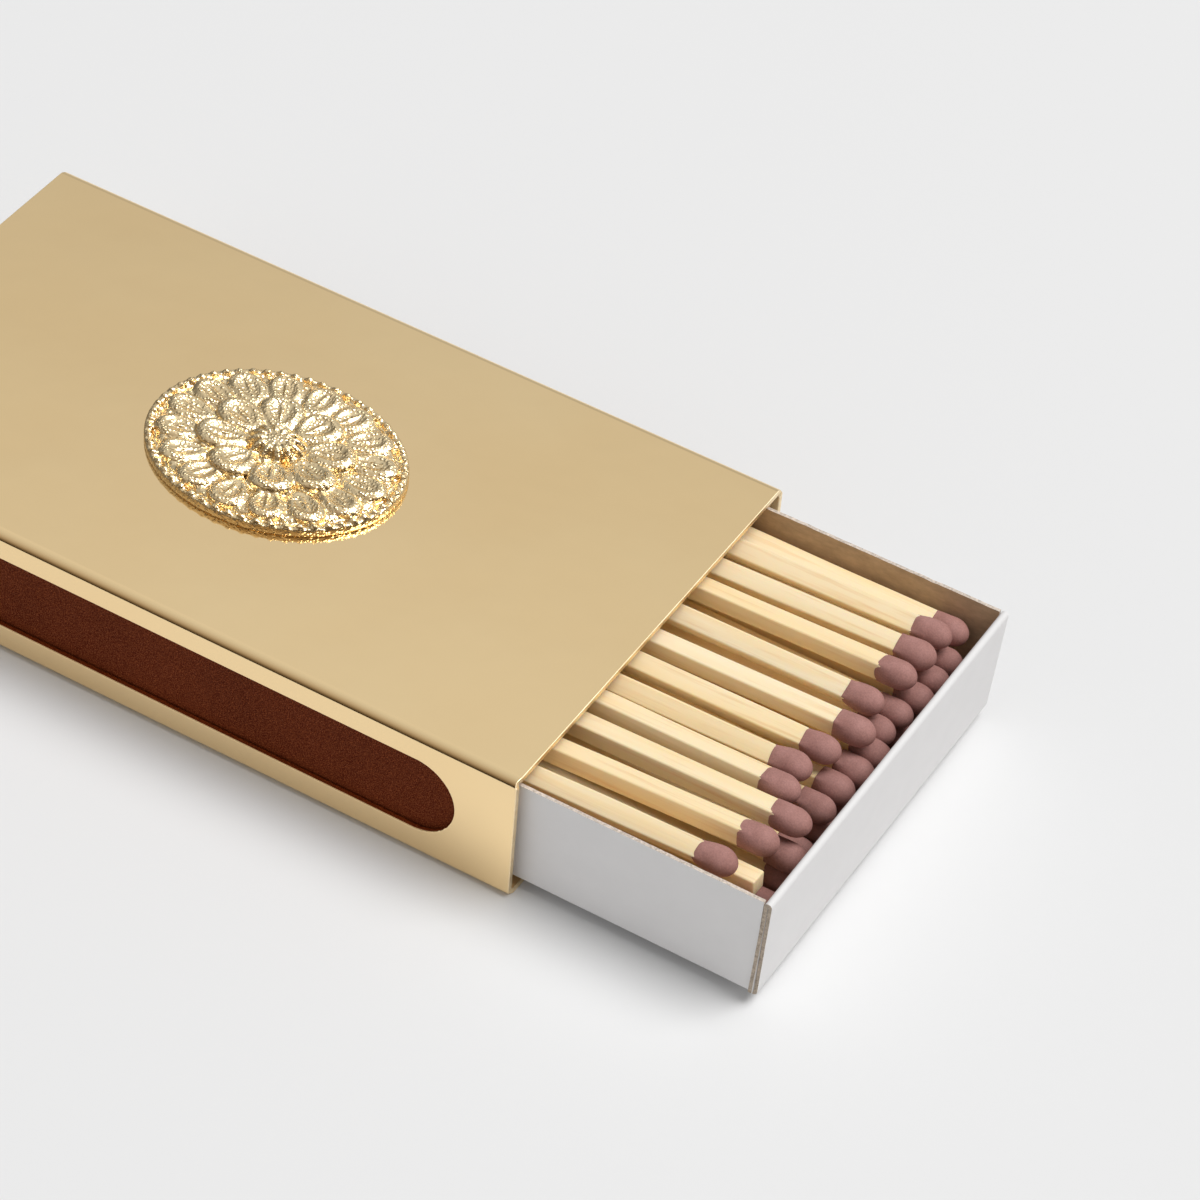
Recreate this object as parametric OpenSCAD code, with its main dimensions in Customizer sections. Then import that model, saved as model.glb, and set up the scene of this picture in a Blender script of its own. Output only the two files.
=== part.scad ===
// Sheet-metal holder around a household box of long matches, with its tray pulled part way out.
// Millimetres. The origin is the middle of the sleeve's underside. +X points to the open end of the
// tray, +Z up, and -Y is the near side.

/* [Sleeve] */
// Length of the metal sleeve
sleeve_l = 116; // [104:1:130]
// Width over the sleeve's sides
sleeve_w = 67; // [58:1:80]
// Height of the sleeve
sleeve_h = 20.6; // [18.6:0.2:26]
// Thickness of the sheet metal
sheet_t = 0.8; // [0.5:0.1:1.2]
// Inner radius of the four long folds
fold_r = 0.7; // [0.1:0.1:1]
// Height of the slot that bares the striking strip
slot_h = 12; // [8:0.5:13]
// Metal left between each end of the slot and the sleeve's end
slot_margin = 8.6; // [5:0.2:16]
// How far the slot sits above mid height
slot_rise = 0.2; // [0:0.1:0.5]

/* [Rosette] */
// Length of the oval rosette, along the sleeve
rosette_l = 37; // [24:0.5:44]
// Width of the oval rosette
rosette_w = 29.5; // [20:0.5:40]
// Height of its centre boss above the sleeve
rosette_h = 3.2; // [2.4:0.2:5]
// Thickness of its plate at the rim
rosette_rim_t = 1.2; // [0.8:0.1:1.6]
// Petals in the outer ring, twice as many as in the inner one
rosette_petals = 16; // [12:2:24]

/* [Box cover] */
// Gap between the metal and the card box on every side
box_gap = 0.2; // [0.15:0.05:0.5]
// How far the card cover stops short of each end of the sleeve
box_recess = 1.5; // [0.5:0.5:4]
// Thickness of the cover's card
cover_t = 0.45; // [0.3:0.05:0.7]
// Inner radius of the cover's folds
cover_r = 0.15; // [0.1:0.05:0.5]
// Thickness of the striking strip's coat
striker_t = 0.1; // [0.05:0.01:0.12]
// Height of the striking strip
striker_h = 15; // [13.5:0.5:16]
// Bare card beyond each end of the striking strip
striker_margin = 3; // [1:0.5:4]

/* [Tray] */
// How far the tray stands out of the sleeve
tray_out = 34.5; // [10:0.5:60]
// How far the tray stops short of each end of the cover
tray_end_gap = 0.25; // [0.1:0.05:1]
// Play between the tray's top edges and the cover, each side
tray_play = 0.7; // [0.4:0.1:1.2]
// How far the tray lies towards the near side in its play
tray_shift = 0.3; // [0:0.1:0.3]
// Lift of the tray's underside off the cover's floor
tray_lift = 0.15; // [0.1:0.05:0.4]
// Gap between the tray's top edges and the cover's ceiling
tray_head_gap = 0.55; // [0.4:0.05:1]
// Thickness of the tray's card
tray_t = 0.5; // [0.35:0.05:0.7]
// How far each side wall leans out at its top
wall_lean = 0.5; // [0:0.1:0.8]
// Thickness of the end panels, which are card folded double
panel_t = 1.05; // [0.9:0.05:1.6]
// How far each end panel leans out at its top
panel_lean = 0.65; // [0.1:0.05:1]
// Outer radius of the tray's folds
crease_r = 0.6; // [0.3:0.1:0.9]

/* [Matches] */
// Free length that a match leaves in the tray
match_room = 10.4; // [9:0.2:30]
// Matches in a row
row_count = 12; // [8:1:14]
// Side of the square splint
splint_s = 2.65; // [2:0.05:2.65]
// Diameter of the head
head_d = 4; // [3.4:0.1:4.4]
// Length of the head
head_l = 5.3; // [4.5:0.1:6.5]
// Head material beyond the end of the splint
head_cap = 0.9; // [0.5:0.1:1.4]
// Thickness of the coat over the splint's corners where the head starts
coat_t = 0.12; // [0.05:0.01:0.2]
// Gap between the rows of heads
row_gap = 0.15; // [0.1:0.05:0.4]
// Gap under the lowest heads
bed_gap = 0.05; // [0.03:0.01:0.2]
// Height from one row of splints to the next at their bare ends
butt_rise = 3.45; // [3.4:0.05:3.6]

/* [Hidden] */
$fn = 48;
eps = 0.01; // lifts a cut clear of the face where it would end
cut_over = 1; // how far a cut runs past what it cuts

// Sleeve
bend_r = fold_r + sheet_t; // outer radius of the folds
bore_w = sleeve_w - 2 * sheet_t;
bore_h = sleeve_h - 2 * sheet_t;
mid_z = sleeve_h / 2;
slot_z = mid_z + slot_rise;
slot_run = sleeve_l - 2 * slot_margin - slot_h; // between the centres of the slot's round ends

// Rosette: rings are shares of the oval's radius, steps are shares of a band's width
rim_edge = 0.97; // where the rim's bevel starts
outer_edge = 0.9; // where the outer petals start
inner_edge = 0.54;
boss_edge = 0.24;
outer_steps = [0.04, 0.2, 0.45, 0.7, 0.9, 1];
inner_steps = [0.04, 0.25, 0.5, 0.78, 1];
boss_foot = rosette_h * 0.62; // height of the plate under the boss
petal_t = rosette_h - rosette_rim_t; // most that the petals may rise
petal_dip = 0.35; // height left between two petals, as a share of a petal's
turn_steps = 6 * rosette_petals;

// Card cover and striking strips
cover_l = sleeve_l - 2 * box_recess;
cover_w = bore_w - 2 * box_gap;
cover_h = bore_h - 2 * box_gap;
cover_z = sheet_t + box_gap; // underside
room_w = cover_w - 2 * cover_t; // inside the cover
room_h = cover_h - 2 * cover_t;
striker_l = cover_l - 2 * striker_margin;

// Tray
tray_l = cover_l - 2 * tray_end_gap;
tray_w = room_w - 2 * tray_play; // over the top edges
tray_h = room_h - tray_lift - tray_head_gap;
tray_z = cover_z + cover_t + tray_lift;
tray_y = -tray_shift;
tray_front = sleeve_l / 2 + tray_out; // outside foot of the front panel
tray_back = tray_front - tray_l;
foot_w = tray_w - 2 * wall_lean; // over the foot of the side walls
floor_z = tray_z + tray_t;
panel_in = tray_front - panel_t; // inside foot of the front panel

// Matches lie in rows one above the other, each row in evenly spaced lanes
match_l = tray_l - 2 * panel_t - match_room;
splint_l = match_l - head_cap;
head_peak = 0.46; // share of the head's length from its tip to its thickest place
head_c = head_l * head_peak;
neck_d = splint_s * sqrt(2) + 2 * coat_t; // of the head where the coat starts
lane_span = foot_w - 2 * tray_t - head_d - 2 * bed_gap; // between the outermost lanes
lane_pitch = lane_span / (row_count - 1);
lane_slack = lane_pitch - head_d; // gap between two heads that lie in their even lanes
row_rise = head_d + row_gap;
rows = max(3, 1 + floor((tray_h - tray_t + tray_head_gap / 2 - head_d - bed_gap) / row_rise));
bed_rows = rows - 2; // rows hidden under the two named ones
second_row = rows - 2;
top_row = rows - 1;
reversed_lane = 10; // the second row's match that lies the other way round
reversed_lift = 0.95; // how far its bare end at the front stands above its row
bed_slip = 0.1; // how far the hidden matches have slid, and how much that varies
bed_slip_wave = 0.08;
bed_shift = 0.35; // sideways step of every other hidden row

// How each match of the two upper rows lies. Shift is how far it lies out of its even lane towards
// the far side, and drift how far its bare end turns towards the near side, both as shares of
// lane_slack. Slip is how far it has slid back from the front panel, as a share of match_room.
top_shift = [0, 0.9, 1.4, 1.8, 0.6, 0.2, 0.1, 0.5, 1.3, 2.05, 2.1, 1.4];
top_drift = [0, -0.15, -0.3, 0, -2.1, -0.6, -0.9, -1.4, -1.9, -1.4, 1.9, 0.9];
top_slip = [0.21, 0.27, 0.26, 0.29, 0.41, 0.24, 0.44, 0.59, 0.52, 0.14, 0.31, 0.55];
top_roll = [10, 32, 26, -3, 30, 3, 22, 36, -4, 2, -5, 30];
second_shift = [-3.25, -2.3, -1.35, -0.4, 0.55, 1.5, 2.45, 3.4, 4.1, 0.3, -1.3, 0];
second_drift = [-0.35, -1.3, -2.2, -3.05, -3, -3, -3, -3, -3, -2.9, -2.6, 0];
second_slip = [0.08, 0.06, 0.07, 0.16, 0.2, 0.05, 0.07, 0.13, 0.16, 0.05, 0.33, 0.08];
second_roll = [5, -8, 3, 10, -5, 8, 0, -6, 9, 4, 0, 6];

function two(i) = i < 10 ? str("0", i) : str(i);
function arc(cx, cy, r, from, to, steps = 5) =
    [for (k = [0:steps]) let (a = from + (to - from) * k / steps) [cx + r * cos(a), cy + r * sin(a)]];

top_splints = [for (i = [1:row_count]) str("top_splint_", two(i))];
top_heads = [for (i = [1:row_count]) str("top_head_", two(i))];
second_splints = [for (i = [1:row_count]) str("second_splint_", two(i))];
second_heads = [for (i = [1:row_count]) str("second_head_", two(i))];

// ---- metal sleeve

module round_rect(w, h, r) {
    square([w - 2 * r, h], center = true);
    square([w, h - 2 * r], center = true);
    for (x = [-1, 1], y = [-1, 1])
        translate([x * (w / 2 - r), y * (h / 2 - r)]) circle(r = r);
}

module tube(l, w, h, r, t) {
    rotate([90, 0, 90]) translate([0, 0, -l / 2]) linear_extrude(l) difference() {
        round_rect(w, h, r);
        round_rect(w - 2 * t, h - 2 * t, r - t);
    }
}

// One cut makes the slot in both sides, because a box has a striking strip on each
module slot_cut() {
    depth = sleeve_w + 2 * cut_over;
    translate([-slot_run / 2, -depth / 2, -slot_h / 2]) cube([slot_run, depth, slot_h]);
    for (x = [-1, 1])
        translate([x * slot_run / 2, 0, 0]) rotate([90, 0, 0]) cylinder(d = slot_h, h = depth, center = true);
}

module sleeve() {
    color([0.86, 0.74, 0.52]) difference() {
        translate([0, 0, mid_z]) tube(sleeve_l, sleeve_w, sleeve_h, bend_r, sheet_t);
        translate([0, 0, slot_z]) slot_cut();
    }
}

// ---- rosette on the lid: an oval of petals in two rings around a boss

// Height of a ring of petals: full in the middle of a petal, sunk between two of them
function petal(share, turn, count) =
    (petal_dip + (1 - petal_dip) * sqrt(abs(sin(turn * count / 2)))) * sin(25 + 135 * share);

function rosette_ring(radius, height, count = 0, share = 0, low = 0) =
    [for (k = [0:turn_steps - 1]) let (turn = 360 * k / turn_steps) [
        rosette_l / 2 * radius * cos(turn),
        rosette_w / 2 * radius * sin(turn),
        low + (count == 0 ? height : height * petal(share, turn, count))
    ]];

rosette_rows = concat(
    [rosette_ring(1, 0), rosette_ring(1, rosette_rim_t * 0.7), rosette_ring(rim_edge, rosette_rim_t)],
    [rosette_ring(outer_edge, rosette_rim_t * 0.8)],
    [for (s = outer_steps) rosette_ring(outer_edge + (inner_edge - outer_edge) * s,
        petal_t * 0.7, rosette_petals, s, rosette_rim_t * 0.55)],
    [for (s = inner_steps) rosette_ring(inner_edge + (boss_edge - inner_edge) * s,
        petal_t * 0.75, rosette_petals / 2, s, rosette_rim_t * 0.9)],
    [for (a = [0:15:75]) rosette_ring(boss_edge * cos(a), boss_foot + (rosette_h - boss_foot) * sin(a))]
);

module rosette() {
    last = len(rosette_rows) - 1;
    points = [for (r = rosette_rows, p = r) p];
    at = function(r, k) r * turn_steps + (k % turn_steps);
    sides = [for (r = [0:last - 1], k = [0:turn_steps - 1])
        each [[at(r, k), at(r + 1, k), at(r, k + 1)], [at(r, k + 1), at(r + 1, k), at(r + 1, k + 1)]]];
    foot = [for (k = [0:turn_steps - 1]) at(0, k)];
    crown = [for (k = [turn_steps - 1:-1:0]) at(last, k)];
    color([0.88, 0.74, 0.45]) translate([0, 0, sleeve_h]) polyhedron(points, concat(sides, [foot], [crown]));
}

// ---- card cover with its two striking strips

module card_cover() {
    color([0.9, 0.89, 0.87])
        translate([0, 0, mid_z]) tube(cover_l, cover_w, cover_h, cover_t + cover_r, cover_t);
}

module striker(side) {
    color([0.3, 0.12, 0.08])
        translate([-striker_l / 2, side * (cover_w + striker_t) / 2 - striker_t / 2, mid_z - striker_h / 2])
            cube([striker_l, striker_t, striker_h]);
}

// ---- tray: a trough of card between two end panels of folded card

// Half the trough's outline on the +Y side, from the middle of the floor to the rim
function trough_half(inset, base) = concat(
    [[0, base]],
    arc(foot_w / 2 - crease_r, base + crease_r - inset, crease_r - inset, -90, 0),
    [[tray_w / 2 - inset, tray_h]]
);

module trough_outline(inset) {
    half = trough_half(inset, inset);
    flipped = [for (k = [len(half) - 1:-1:1]) [-half[k][0], half[k][1]]];
    polygon(concat(half, flipped));
}

module along_tray(l) {
    translate([tray_back, tray_y, tray_z]) rotate([90, 0, 90]) linear_extrude(l) children();
}

// The front panel, standing on the tray's underside at its foot and rounded over at the top
module panel_profile() {
    r = panel_t / 2;
    translate([-panel_t, 0]) square([panel_t, tray_h - r]);
    translate([-r, tray_h - r]) circle(r = r);
}

module front_panel() {
    lean = atan(panel_lean / tray_h);
    intersection() {
        translate([tray_front, tray_y + tray_w / 2, tray_z]) rotate([0, lean, 0])
            rotate([90, 0, 0]) linear_extrude(tray_w) panel_profile();
        along_tray(tray_l + 2 * panel_lean) trough_outline(0);
    }
}

module tray() {
    middle = (tray_front + tray_back) / 2;
    color([0.84, 0.82, 0.8]) union() {
        difference() {
            translate([panel_t / 2, 0, 0]) along_tray(tray_l - panel_t) trough_outline(0);
            translate([-cut_over, 0, eps]) along_tray(tray_l + 2 * cut_over) trough_outline(tray_t);
        }
        front_panel();
        translate([middle, 0, 0]) mirror([1, 0, 0]) translate([-middle, 0, 0]) front_panel();
    }
}

// ---- matches

function named(row, i, top, second) = let (values = row == top_row ? top : second) values[i % len(values)];
function shift(row, i) = row < second_row ? bed_shift * (row % 2) : named(row, i, top_shift, second_shift);
function drift(row, i) = row < second_row ? 0 : named(row, i, top_drift, second_drift);
function roll(row, i) = row < second_row ? 0 : named(row, i, top_roll, second_roll);
function slip(row, i) = match_room * (row < second_row
    ? bed_slip + bed_slip_wave * sin(97 * i + 60 * row)
    : named(row, i, top_slip, second_slip));
function skew(row, i) = asin(drift(row, i) * lane_slack / splint_l);
function lane_y(row, i) =
    let (y = lane_span / 2 - i * lane_pitch + shift(row, i) * lane_slack)
    tray_y + min(max(y, -lane_span / 2), lane_span / 2);
function head_z(row) = floor_z + bed_gap + head_d / 2 + row * row_rise;
function butt_z(row) = floor_z + bed_gap + splint_s / 2 + row * butt_rise;
function is_reversed(row, i) = row == second_row && i == reversed_lane;
// The far match of the top row has slid off its row, and leans between the wall and the head below
function leaned_z() = let (aside = lane_y(top_row, 0) - lane_y(second_row, 0))
    head_z(second_row) + sqrt(max(0, pow(row_rise, 2) - pow(aside, 2)));
function front_z(row, i) = is_reversed(row, i) ? head_z(row) + reversed_lift
    : row == top_row && i == 0 ? leaned_z() : head_z(row);
function tilt(row, i) = -asin((front_z(row, i) - butt_z(row)) / splint_l);

// Puts a match's own frame, which has its origin at the thickest place of the head, into the tray
module lay(row, i) {
    turned = is_reversed(row, i);
    translate([panel_in - slip(row, i) - head_c, lane_y(row, i), front_z(row, i)])
        rotate([roll(row, i), tilt(row, i), skew(row, i)])
            translate([turned ? 2 * head_c - match_l : 0, 0, 0]) rotate([0, 0, turned ? 180 : 0]) children();
}

module splint_body() {
    translate([head_c - match_l, -splint_s / 2, -splint_s / 2]) cube([splint_l, splint_s, splint_s]);
}

// Radius of the head at a share of its length, from where the coat starts to the tip
function head_r(u) =
    let (back = 1 - head_peak)
    u < back ? neck_d / 2 + (head_d - neck_d) / 2 * sin(90 * u / back)
        : head_d / 2 * sqrt(max(0, 1 - pow((u - back) / head_peak, 2)));

module head_body() {
    steps = 12;
    outline = [for (k = [0:steps]) let (u = sin(90 * k / steps)) [head_r(u), u * head_l]];
    difference() {
        translate([head_c - head_l, 0, 0]) rotate([0, 90, 0])
            rotate_extrude() polygon(concat([[0, 0]], outline));
        splint_body();
    }
}

module splint(row, i) {
    color([0.93, 0.82, 0.6]) lay(row, i) splint_body();
}

module head(row, i) {
    color([0.6, 0.43, 0.4]) lay(row, i) head_body();
}

sleeve();
rosette();
card_cover();
striker(-1);  // striker_near
striker(1);  // striker_far
tray();
for (i = [0:row_count - 1]) {
    splint(top_row, i);
    head(top_row, i);
    splint(second_row, i);
    head(second_row, i);
}
for (row = [0:bed_rows - 1], i = [0:row_count - 1]) {
    splint(row, i);  // lower_splints
    head(row, i);  // lower_heads
}
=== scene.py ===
import math
import random

import bmesh
import bpy
from mathutils import Matrix, Vector, noise


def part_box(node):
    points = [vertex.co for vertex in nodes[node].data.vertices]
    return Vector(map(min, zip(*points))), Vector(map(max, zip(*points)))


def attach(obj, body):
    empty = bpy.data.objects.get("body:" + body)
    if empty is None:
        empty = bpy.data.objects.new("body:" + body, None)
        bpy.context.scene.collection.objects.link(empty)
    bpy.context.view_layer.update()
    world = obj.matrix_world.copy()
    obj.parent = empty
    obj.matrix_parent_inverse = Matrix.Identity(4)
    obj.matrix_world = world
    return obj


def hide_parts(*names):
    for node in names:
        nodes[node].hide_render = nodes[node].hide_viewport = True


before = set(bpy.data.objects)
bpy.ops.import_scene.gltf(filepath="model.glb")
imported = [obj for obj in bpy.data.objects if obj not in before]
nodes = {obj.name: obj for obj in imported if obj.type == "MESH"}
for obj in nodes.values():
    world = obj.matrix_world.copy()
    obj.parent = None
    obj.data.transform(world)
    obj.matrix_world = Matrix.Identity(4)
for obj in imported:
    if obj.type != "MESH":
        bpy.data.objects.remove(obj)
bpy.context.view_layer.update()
mm = 0.001
level = 0.01 * mm  # points nearer than this in one direction are on one line
same = 0.001 * mm  # and points nearer than this are one point
random.seed(12)
print("frame loaded:", len(nodes), "nodes")


# small helpers for modelling

def only(piece):
    if bpy.context.object and bpy.context.object.mode != "OBJECT":
        bpy.ops.object.mode_set(mode="OBJECT")
    bpy.ops.object.select_all(action="DESELECT")
    if piece:
        piece.select_set(True)
        bpy.context.view_layer.objects.active = piece


def named(name):
    piece = bpy.context.object
    piece.name = name
    piece.data.name = name
    bpy.ops.object.transform_apply(location=True, rotation=True, scale=True)
    return piece


def boxPiece(name, low, high):
    only(None)
    low, high = Vector(low), Vector(high)
    bpy.ops.mesh.primitive_cube_add(size=1, location=(low + high) / 2, scale=high - low)
    return named(name)


def ballPiece(name, segments, rings, radius=1, **where):
    only(None)
    bpy.ops.mesh.primitive_uv_sphere_add(segments=segments, ring_count=rings, radius=radius, **where)
    return named(name)


def pick(kind, test):
    # selects the vertices, edges or faces for which test is true
    piece = bpy.context.object
    if piece.mode != "EDIT":
        bpy.ops.object.mode_set(mode="EDIT")
    bpy.ops.mesh.select_mode(type=kind)
    bpy.ops.mesh.select_all(action="DESELECT")
    mesh = bmesh.from_edit_mesh(piece.data)
    mesh.normal_update()
    for item in {"VERT": mesh.verts, "EDGE": mesh.edges, "FACE": mesh.faces}[kind]:
        if test(item):
            item.select_set(True)
    bmesh.update_edit_mesh(piece.data)


def middle(edge):
    return (edge.verts[0].co + edge.verts[1].co) / 2


def runs(edge, axis):
    line = edge.verts[1].co - edge.verts[0].co
    return abs(line[axis]) > 0.98 * line.length


def leaveEdit():
    bpy.ops.object.mode_set(mode="OBJECT")


def apply(piece, kind, **settings):
    only(piece)
    modifier = piece.modifiers.new(kind.title(), kind)
    for key, value in settings.items():
        setattr(modifier, key, value)
    bpy.ops.object.modifier_apply(modifier=modifier.name)


def copyOf(piece, name):
    copy = bpy.data.objects.new(name, piece.data.copy())
    bpy.context.scene.collection.objects.link(copy)
    return copy


def join(pieces, name):
    only(pieces[0])
    for piece in pieces:
        piece.select_set(True)
    bpy.ops.object.join()
    return named(name)


def smooth(piece, angle=35):
    only(piece)
    bpy.ops.object.shade_smooth_by_angle(angle=math.radians(angle))
    return piece


def finished(piece, body, slot, material, *replaced):
    if material:
        piece.data.materials.clear()
        piece.data.materials.append(material)
    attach(piece, body)
    if replaced:
        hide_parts(*replaced)
    return piece


# small helpers for materials

def newMaterial(name, **values):
    material = bpy.data.materials.new(name)
    material.use_nodes = True
    shader = material.node_tree.nodes["Principled BSDF"]
    for key, value in values.items():
        shader.inputs[key.replace("_", " ")].default_value = value
    return material, material.node_tree, shader


def addNode(tree, kind, settings=None, **values):
    node = tree.nodes.new("ShaderNode" + kind)
    for key, value in (settings or {}).items():
        setattr(node, key, value)
    for key, value in values.items():
        socket = node.inputs[key.replace("_", " ")]
        if isinstance(value, bpy.types.NodeSocket):
            tree.links.new(value, socket)
        else:
            socket.default_value = value
    return node


def place(tree, stretch):
    # object coordinates, in which a pattern is long where its stretch is small
    where = addNode(tree, "TexCoord").outputs["Object"]
    return addNode(tree, "Mapping", Vector=where, Scale=stretch).outputs["Vector"]


def noiseAt(tree, scale, detail=3, roughness=0.5, stretch=(1, 1, 1)):
    node = addNode(tree, "TexNoise", Vector=place(tree, stretch), Scale=scale, Detail=detail,
                   Roughness=roughness)
    return node.outputs["Fac"]


def shade(colour, share):
    return tuple(c * share for c in colour)


def ramp(tree, value, stops):
    node = addNode(tree, "ValToRGB", Fac=value)
    elements = node.color_ramp.elements
    while len(elements) < len(stops):
        elements.new(0.5)
    for element, (position, colour) in zip(elements, stops):
        element.position = position
        element.color = (*colour, 1)
    return node.outputs["Color"]


def between(tree, value, low, high, fromLow=0, fromHigh=1):
    # a value that runs from low to high while the given one runs from fromLow to fromHigh
    node = addNode(tree, "MapRange", Value=value, From_Min=fromLow, From_Max=fromHigh,
                   To_Min=low, To_Max=high)
    return node.outputs["Result"]


def mixed(tree, factor, first, second, how="MIX"):
    node = addNode(tree, "Mix", {"data_type": "RGBA", "blend_type": how})
    node.inputs[0].default_value = 1
    for socket, value in ((node.inputs[0], factor), (node.inputs[6], first), (node.inputs[7], second)):
        if isinstance(value, bpy.types.NodeSocket):
            tree.links.new(value, socket)
        else:
            socket.default_value = value if isinstance(value, (int, float)) else (*value, 1)
    return node.outputs[2]


def maths(tree, operation, *values):
    node = addNode(tree, "Math", {"operation": operation})
    for socket, value in zip(node.inputs, values):
        if isinstance(value, bpy.types.NodeSocket):
            tree.links.new(value, socket)
        else:
            socket.default_value = value
    return node.outputs["Value"]


def bumped(tree, shader, *layers):
    # each layer is a height between 0 and 1 and how far it stands up, in metres
    normal = None
    for height, distance in layers:
        node = addNode(tree, "Bump", Height=height, Distance=distance, Strength=1.0)
        if normal:
            tree.links.new(normal, node.inputs["Normal"])
        normal = node.outputs["Normal"]
    tree.links.new(normal, shader.inputs["Normal"])


# metal; here and below a noise is its scale, its detail, its roughness and its stretch, as far as needed

brassLook = {"bright": (0.975, 0.742, 0.415), "deep": (0.955, 0.71, 0.385), "roughness": (0.075, 0.125),
             "cloud": (22, 4, 0.55), "smears": (60, 3), "polish": (900, 2), "waveDepth": 0.12 * mm,
             "polishDepth": 0.0006 * mm}


def brassSheetMaterial():
    material, tree, shader = newMaterial("brassSheetMetal", Metallic=1)
    cloud = noiseAt(tree, *brassLook["cloud"])
    tint = ramp(tree, cloud, [(0.35, brassLook["deep"]), (0.65, brassLook["bright"])])
    tree.links.new(tint, shader.inputs["Base Color"])
    rough = between(tree, noiseAt(tree, *brassLook["smears"]), *brassLook["roughness"])
    tree.links.new(rough, shader.inputs["Roughness"])
    bumped(tree, shader, (cloud, brassLook["waveDepth"]),
           (noiseAt(tree, *brassLook["polish"]), brassLook["polishDepth"]))
    return material


castingLook = {"bright": (0.97, 0.785, 0.48), "deep": (0.94, 0.73, 0.42), "roughness": (0.17, 0.27),
               "cloud": (160, 3), "smears": (1500, 2), "grains": 2100, "grainScatter": 0.8,
               "grainEdge": (0.1, 0.55), "grainDepth": 0.085 * mm, "lumps": (1500, 3),
               "lumpDepth": 0.04 * mm, "pits": (3600, 1), "pitDepth": 0.015 * mm}


def castingMaterial():
    material, tree, shader = newMaterial("brassCastingMetal", Metallic=1)
    cloud = noiseAt(tree, *castingLook["cloud"])
    tint = ramp(tree, cloud, [(0.35, castingLook["deep"]), (0.65, castingLook["bright"])])
    tree.links.new(tint, shader.inputs["Base Color"])
    rough = between(tree, noiseAt(tree, *castingLook["smears"]), *castingLook["roughness"])
    tree.links.new(rough, shader.inputs["Roughness"])
    cells = addNode(tree, "TexVoronoi", Vector=place(tree, (1, 1, 1)), Scale=castingLook["grains"],
                    Randomness=castingLook["grainScatter"])
    dome = between(tree, cells.outputs["Distance"], 1, 0, *castingLook["grainEdge"])
    bumped(tree, shader, (dome, castingLook["grainDepth"]),
           (noiseAt(tree, *castingLook["lumps"]), castingLook["lumpDepth"]),
           (noiseAt(tree, *castingLook["pits"]), castingLook["pitDepth"]))
    return material


cutLook = {"bright": (1.0, 0.83, 0.56), "deep": (0.95, 0.74, 0.44), "roughness": (0.35, 0.5),
           "scratches": (1400, 2, 0.5, (1, 0.15, 1)), "scratchDepth": 0.01 * mm}


def cutEdgeMaterial():
    material, tree, shader = newMaterial("cutBrassEdge", Metallic=1)
    scratches = noiseAt(tree, *cutLook["scratches"])
    tint = ramp(tree, scratches, [(0.3, cutLook["deep"]), (0.7, cutLook["bright"])])
    tree.links.new(tint, shader.inputs["Base Color"])
    tree.links.new(between(tree, scratches, *cutLook["roughness"]), shader.inputs["Roughness"])
    bumped(tree, shader, (scratches, cutLook["scratchDepth"]))
    return material


brassSheet = brassSheetMaterial()
cutBrass = cutEdgeMaterial()
brassCasting = castingMaterial()


# sleeve of folded sheet

sleeveFit = {"sheetThick": 0.8 * mm, "bendRadius": 1.5 * mm, "bendSteps": 14, "slotMargin": 8.6 * mm,
             "slotHeight": 12 * mm, "slotMiddle": 10.5 * mm, "slotSteps": 96, "edgeEase": 0.13 * mm,
             "wideRadius": 1.58 * mm, "tightRadius": 0.45 * mm, "tightFrom": 67, "cornerEase": 0.25 * mm,
             "cutDepth": 0.75 * mm, "easeSteps": 3, "easeFrom": 38}


def slotCutter(low, high):
    radius = sleeveFit["slotHeight"] / 2
    reach = (high.x - low.x) / 2 - sleeveFit["slotMargin"] - radius
    only(None)
    bpy.ops.mesh.primitive_cylinder_add(vertices=sleeveFit["slotSteps"], radius=radius,
                                        depth=2 * (high.y - low.y), rotation=(math.pi / 2, 0, 0),
                                        location=(0, 0, sleeveFit["slotMiddle"]))
    cutter = named("slotCutter")
    for side in (-1, 1):
        pick("VERT", lambda v: v.co.x * side > level)
        bpy.ops.transform.translate(value=(side * reach, 0, 0))
    leaveEdit()
    return cutter


def shapeBends(sleeve, low, high):
    # a pressed bend: wide over the top, tight where it meets the wall, with its ends filed back a little
    radius, wide, tight = (sleeveFit[key] for key in ("bendRadius", "wideRadius", "tightRadius"))
    change = math.radians(sleeveFit["tightFrom"])
    across = wide * math.sin(change) + tight * (1 - math.sin(change))
    down = wide * (1 - math.cos(change)) + tight * math.cos(change)
    centre, half = (low + high) / 2, (high - low) / 2
    for vertex in sleeve.data.vertices:
        away = vertex.co - centre
        out = Vector((abs(away.y) - half.y + radius, abs(away.z) - half.z + radius))
        if min(out) < -same:
            continue
        angle = math.atan2(out.x, out.y)
        vertex.co.x -= math.copysign(sleeveFit["cornerEase"] * math.sin(2 * angle) ** 2, away.x)
        if out.length < 0.95 * radius:
            continue
        bend = wide if angle < change else tight
        foot = (half.y - across, half.z - wide) if angle < change else (half.y - tight, half.z - down)
        vertex.co.y = centre.y + math.copysign(foot[0] + bend * math.sin(angle), away.y)
        vertex.co.z = centre.z + math.copysign(foot[1] + bend * math.cos(angle), away.z)


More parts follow.
